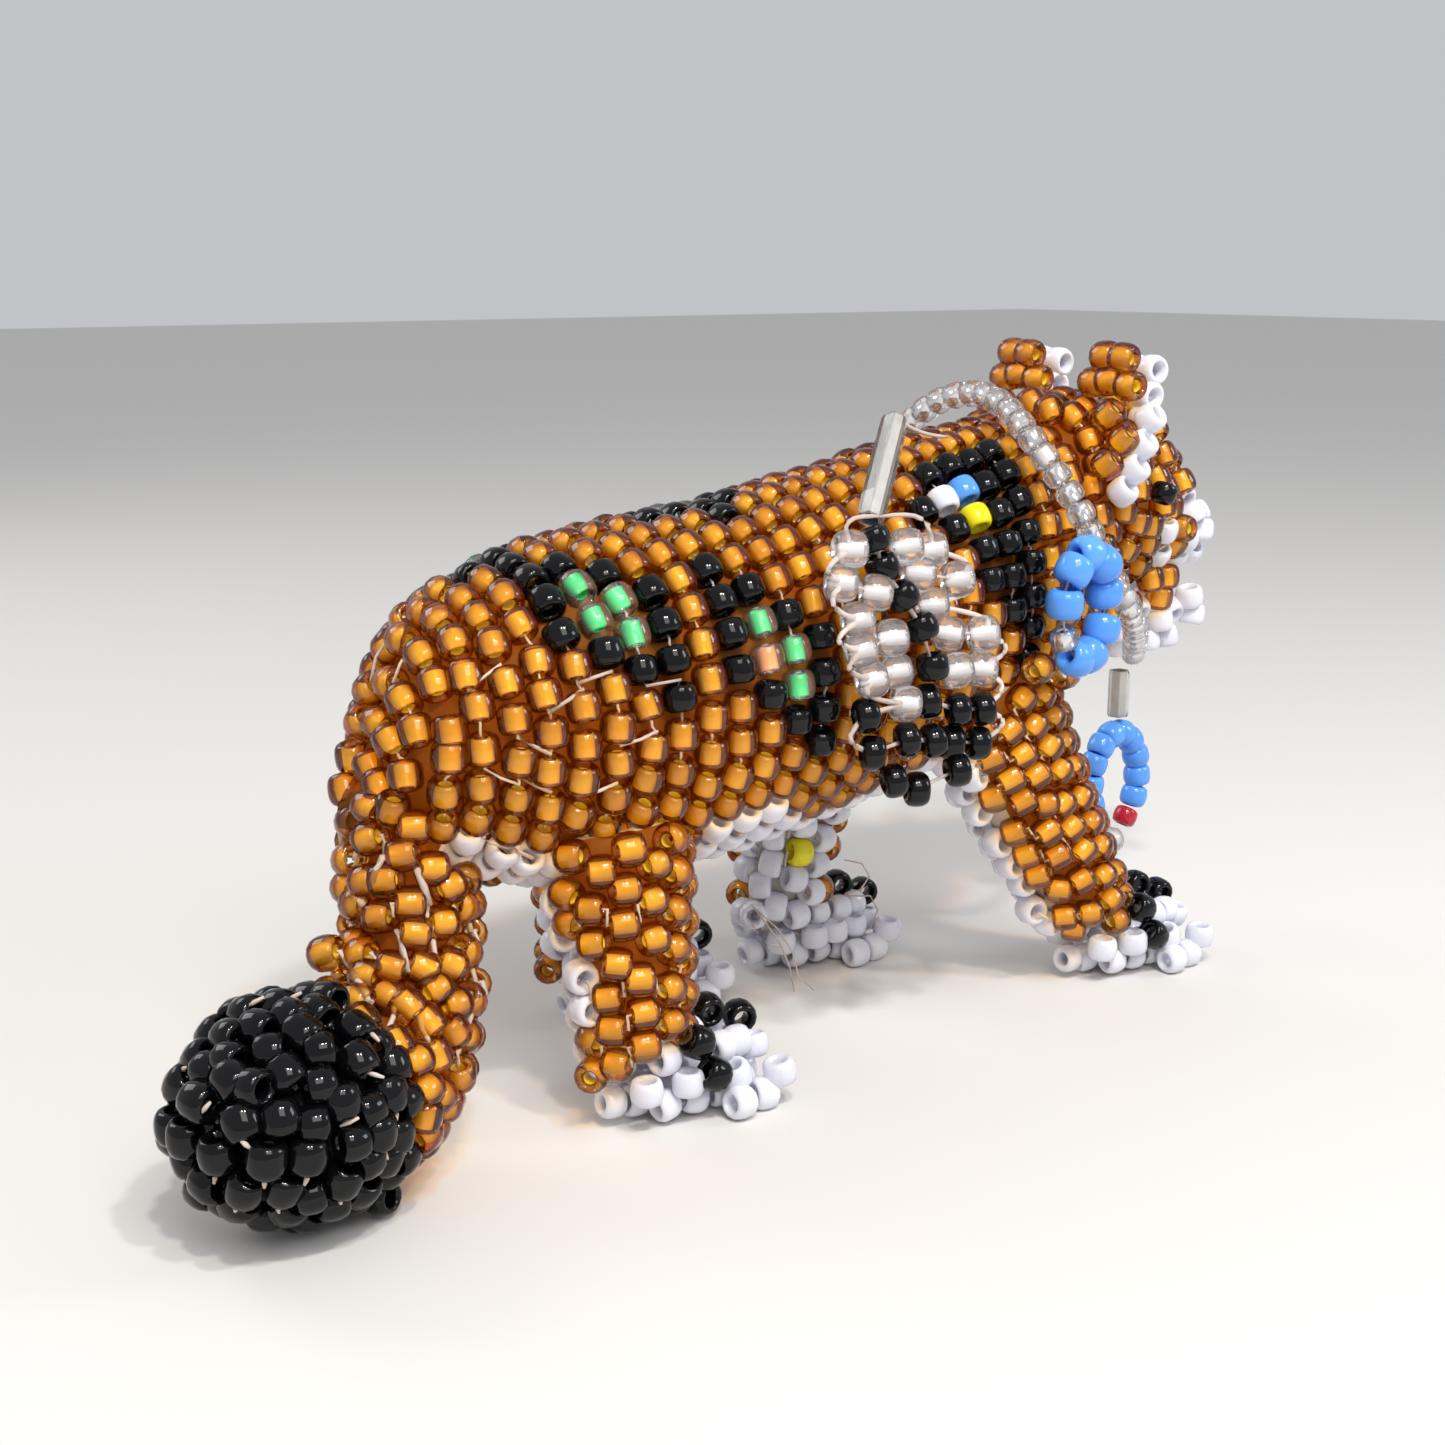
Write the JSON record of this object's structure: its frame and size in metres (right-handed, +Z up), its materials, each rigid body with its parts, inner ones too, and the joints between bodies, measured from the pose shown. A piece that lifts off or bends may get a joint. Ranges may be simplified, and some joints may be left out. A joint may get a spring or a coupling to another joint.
{
  "type": "beaded animal figure",
  "caption": "Bead-woven walking spotted cat with a black-tipped tail, a stitched bead collar, and a bead feather and loops that swing.",
  "frame": {"origin": "on the ground plane under the middle of the figure's box", "axes": "+X from tail to head, +Y to the animal's left, +Z up"},
  "size_m": [0.0898, 0.0274, 0.0467],
  "materials": {
    "amber_beads": "transparent amber glass seed beads with an opaque golden lining in the hole",
    "black_beads": "opaque glossy black glass seed beads",
    "white_beads": "opaque glossy white glass seed beads",
    "green_beads": "clear glass seed beads with a bright green lining",
    "blue_beads": "opaque glossy sky blue glass seed beads",
    "red_beads": "opaque glossy dark red glass seed beads",
    "crystal_beads": "clear colourless glass seed beads",
    "silver_lined_beads": "clear glass beads and bugles with a mirror silver lining",
    "thread_fibre": "off-white sewing thread, and firm fibre stuffing"
  },
  "bodies": {
    "figure": {"belly_panel": "white_beads", "collar_strand": "silver_lined_beads", "ear_left": "amber_beads", "ear_lining_left": "white_beads", "ear_lining_right": "white_beads", "ear_right": "amber_beads", "eye_bead_left": "black_beads", "eye_bead_right": "black_beads", "flank_rosette_left": "green_beads", "flank_rosette_right": "green_beads", "front_left_claws": "black_beads", "front_left_leg_core": "thread_fibre", "front_left_leg_inner": "white_beads", "front_left_leg_outer": "amber_beads", "front_left_paw": "white_beads", "front_right_claws": "black_beads", "front_right_leg_core": "thread_fibre", "front_right_leg_inner": "white_beads", "front_right_leg_outer": "amber_beads", "front_right_paw": "white_beads", "head_core": "thread_fibre", "head_hide": "amber_beads", "hind_left_claws": "black_beads", "hind_left_leg_core": "thread_fibre", "hind_left_leg_inner": "white_beads", "hind_left_leg_outer": "amber_beads", "hind_left_paw": "white_beads", "hind_right_claws": "black_beads", "hind_right_leg_core": "thread_fibre", "hind_right_leg_inner": "white_beads", "hind_right_leg_outer": "amber_beads", "hind_right_paw": "white_beads", "lower_jaw": "white_beads", "muzzle": "white_beads", "nose_bead": "black_beads", "rump_rosette_left": "green_beads", "rump_rosette_right": "green_beads", "shoulder_patch_left": "black_beads", "shoulder_patch_right": "black_beads", "spine_rosette": "black_beads", "tail_core": "thread_fibre", "tail_hide": "amber_beads", "tail_tip": "black_beads", "torso_core": "thread_fibre", "torso_hide": "amber_beads"},
    "shoulder_bugle": {"shoulder_bugle": "silver_lined_beads"},
    "feather": {"feather_cap_bead": "crystal_beads", "feather_quill": "black_beads", "feather_tip": "black_beads", "feather_vane_front": "crystal_beads", "feather_vane_rear": "crystal_beads"},
    "side_loop": {"side_loop": "blue_beads", "side_loop_crystal": "silver_lined_beads"},
    "chest_bugle": {"chest_bugle": "silver_lined_beads"},
    "chest_ring": {"chest_ring": "blue_beads", "chest_ring_red_front": "red_beads", "chest_ring_red_rear": "red_beads", "chest_drop_bead": "crystal_beads"}
  },
  "joints": [
    {"name": "shoulder_bugle_swing", "type": "hinge", "parent": "figure", "child": "shoulder_bugle", "pos_m": [0.00734, -0.00377, 0.0422], "axis": [-1, 0, 0], "range_deg": [0, 60]},
    {"name": "feather_swing", "type": "hinge", "parent": "shoulder_bugle", "child": "feather", "pos_m": [0.00174, -0.00807, 0.0366], "axis": [-1, 0, 0], "range_deg": [0, 45]},
    {"name": "side_loop_swing", "type": "hinge", "parent": "figure", "child": "side_loop", "pos_m": [0.01914, -0.01017, 0.0356], "axis": [-1, 0, 0], "range_deg": [0, 40]},
    {"name": "chest_bugle_swing", "type": "hinge", "parent": "figure", "child": "chest_bugle", "pos_m": [0.03594, 0.00143, 0.0222], "axis": [0, -1, 0], "range_deg": [-15, 40]},
    {"name": "chest_ring_swing", "type": "hinge", "parent": "chest_bugle", "child": "chest_ring", "pos_m": [0.03594, 0.00143, 0.0169], "axis": [0, -1, 0], "range_deg": [-20, 30]}
  ]
}
